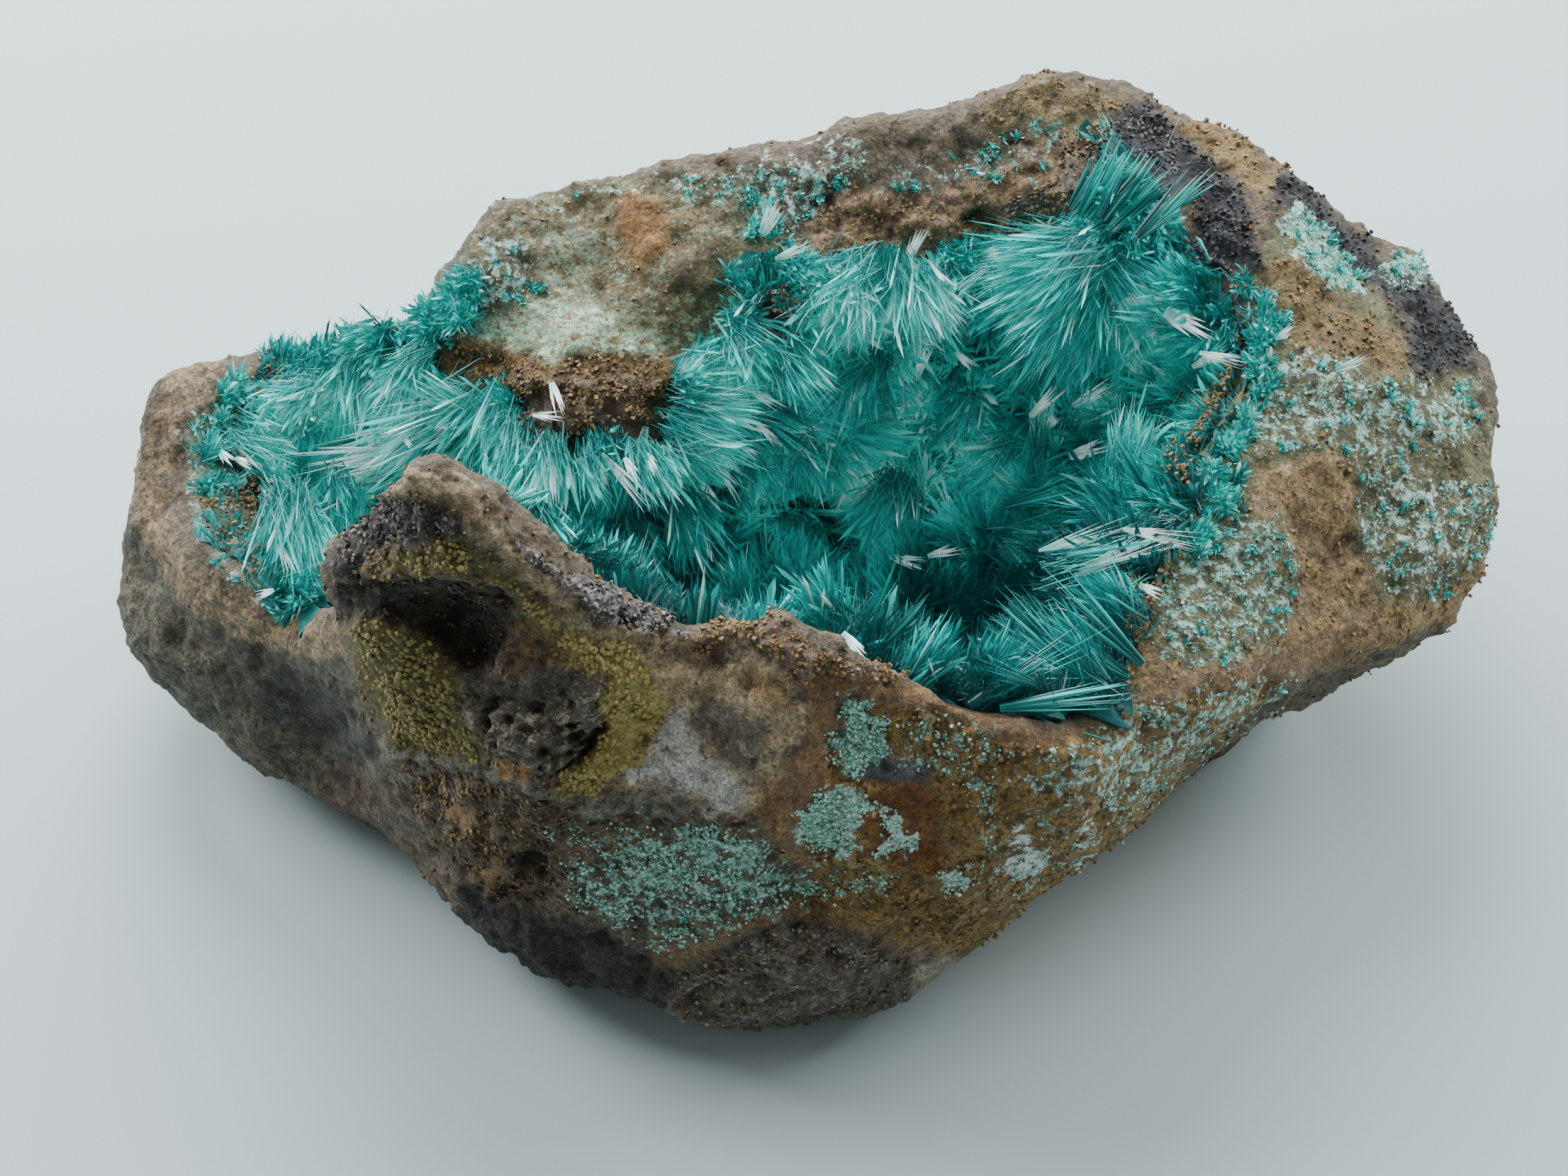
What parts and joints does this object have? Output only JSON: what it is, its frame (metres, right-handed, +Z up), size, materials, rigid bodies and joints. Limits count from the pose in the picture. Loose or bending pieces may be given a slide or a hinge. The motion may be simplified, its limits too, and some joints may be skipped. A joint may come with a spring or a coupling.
{
  "type": "aurichalcite specimen",
  "caption": "Brown rock with a tall spike and a hollow on top lined with radiating blue-green needle crystals, on a flat resting face.",
  "frame": {"origin": "centre of the bounding box seen from above, at the height of the flat base", "axes": "+X along the longest extent, to the right as the specimen is seen; +Y away from the viewer; +Z up"},
  "size_m": [0.0734, 0.048, 0.0339],
  "materials": {
    "matrix": "rough brown limonite and grey quartz rock, dull and grainy, with ochre and blue-green patches",
    "aurichalcite_crust": "silky blue-green needle crystals, paler at their tips"
  },
  "bodies": {
    "root": {"matrix": "matrix", "aurichalcite_crust": "aurichalcite_crust"}
  },
  "joints": []
}
